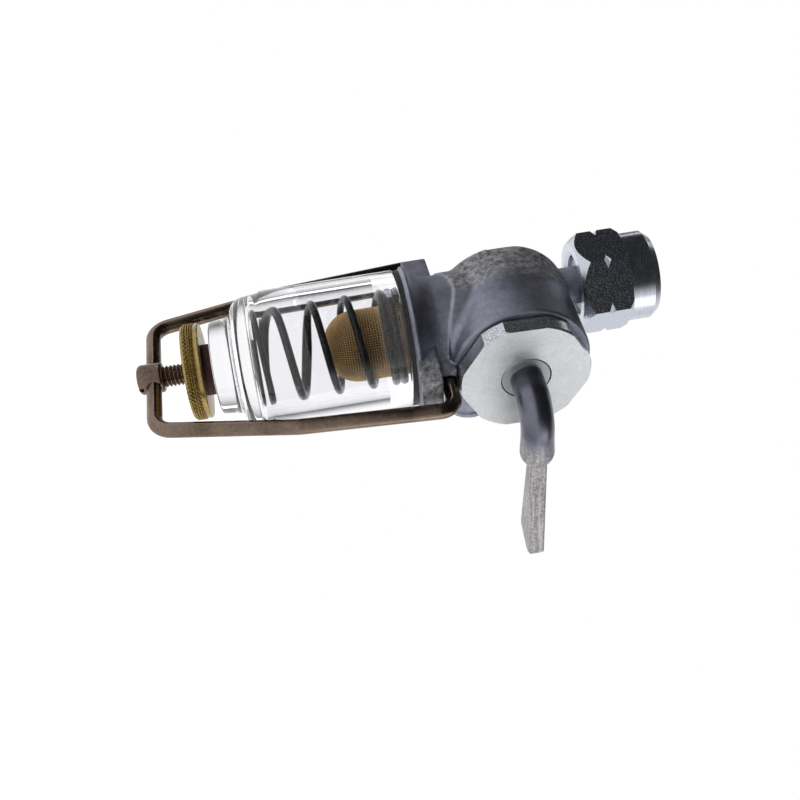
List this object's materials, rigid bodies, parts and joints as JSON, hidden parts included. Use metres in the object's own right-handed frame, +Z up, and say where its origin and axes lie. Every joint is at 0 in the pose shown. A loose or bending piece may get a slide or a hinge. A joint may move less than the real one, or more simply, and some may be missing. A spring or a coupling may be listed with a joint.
{
  "type": "fuel tap with sediment bowl",
  "caption": "Fuel tap with a lever valve, glass sediment bowl held by a wire bail with a thumb nut, gauze strainer inside and a union nut for the tank on top.",
  "frame": {"origin": "centre of the inlet washer's sealing face, which seats on the tank's threaded spigot", "axes": "+Z up out of the inlet, the bowl hangs down -Z; -Y is the cap side that the lever's stem comes out of; +X is where the shut lever and the outlet boss point"},
  "size_m": [0.0742, 0.069, 0.14],
  "materials": {
    "casting": "cast and partly turned, satin",
    "cap_metal": "turned face, satin",
    "lever_metal": "satin with fine scratches",
    "nut_metal": "smooth turned",
    "stub_metal": "turned",
    "gasket_black": "matt",
    "gasket_grey": "matt fibre",
    "cork_brown": "cork and rubber",
    "plain_steel": "plain",
    "rotor_brass": "turned",
    "dark_spring": "dark, oil blackened",
    "bowl_glass": "clear moulded",
    "gauze_brass": "fine woven wire cloth",
    "ferrule_dark": "dull pressed",
    "bail_bronze": "bronze brown passivated",
    "thumb_brass": "knurled rim",
    "pad_brown": "dark fibre"
  },
  "bodies": {
    "tap": {"valve_body": "casting", "cap_nut": "cap_metal", "cap_gasket": "gasket_black", "rotor_seat": "cork_brown", "inlet_stub": "stub_metal", "inlet_washer": "gasket_grey", "bowl_gasket": "gasket_black", "glass_bowl": "bowl_glass", "strainer_gauze": "gauze_brass", "strainer_ferrule": "ferrule_dark", "strainer_spring": "dark_spring"},
    "lever_group": {"lever": "lever_metal", "thrust_washer": "plain_steel", "stem_seal": "gasket_black", "drive_pin": "plain_steel", "rotor": "rotor_brass", "rotor_spring": "dark_spring"},
    "union": {"union_nut": "nut_metal"},
    "bail": {"bail_wire": "bail_bronze", "bail_screw": "bail_bronze"},
    "pad": {"pressure_pad": "pad_brown"},
    "thumb": {"thumb_nut": "thumb_brass"}
  },
  "joints": [
    {"name": "lever_turn", "type": "hinge", "parent": "tap", "child": "lever_group", "pos_m": [0, -0.0103, -0.0325], "axis": [0, 1, 0], "range_deg": [-90, 0]},
    {"name": "union_nut_spin", "type": "hinge", "parent": "tap", "child": "union", "pos_m": [0, 0, -0.0025], "axis": [0, 0, 1], "continuous": true},
    {"name": "bail_swing", "type": "hinge", "parent": "tap", "child": "bail", "pos_m": [0, -0.0103, -0.0517], "axis": [0, 1, 0], "range_deg": [0, 15]},
    {"name": "pad_slide", "type": "slide", "parent": "bail", "child": "pad", "axis": [0, 0, -1], "range_m": [0, 0.004]},
    {"name": "thumb_nut_spin", "type": "hinge", "parent": "pad", "child": "thumb", "pos_m": [0, -0.0103, -0.115], "axis": [0, 0, 1], "range_deg": [0, 1440]}
  ],
  "couplings": [
    {"joint": "pad_slide", "follows": "thumb_nut_spin", "m_per_rad": 0.00015915},
    {"joint": "bail_swing", "follows": "thumb_nut_spin", "ratio": 0.010417}
  ]
}
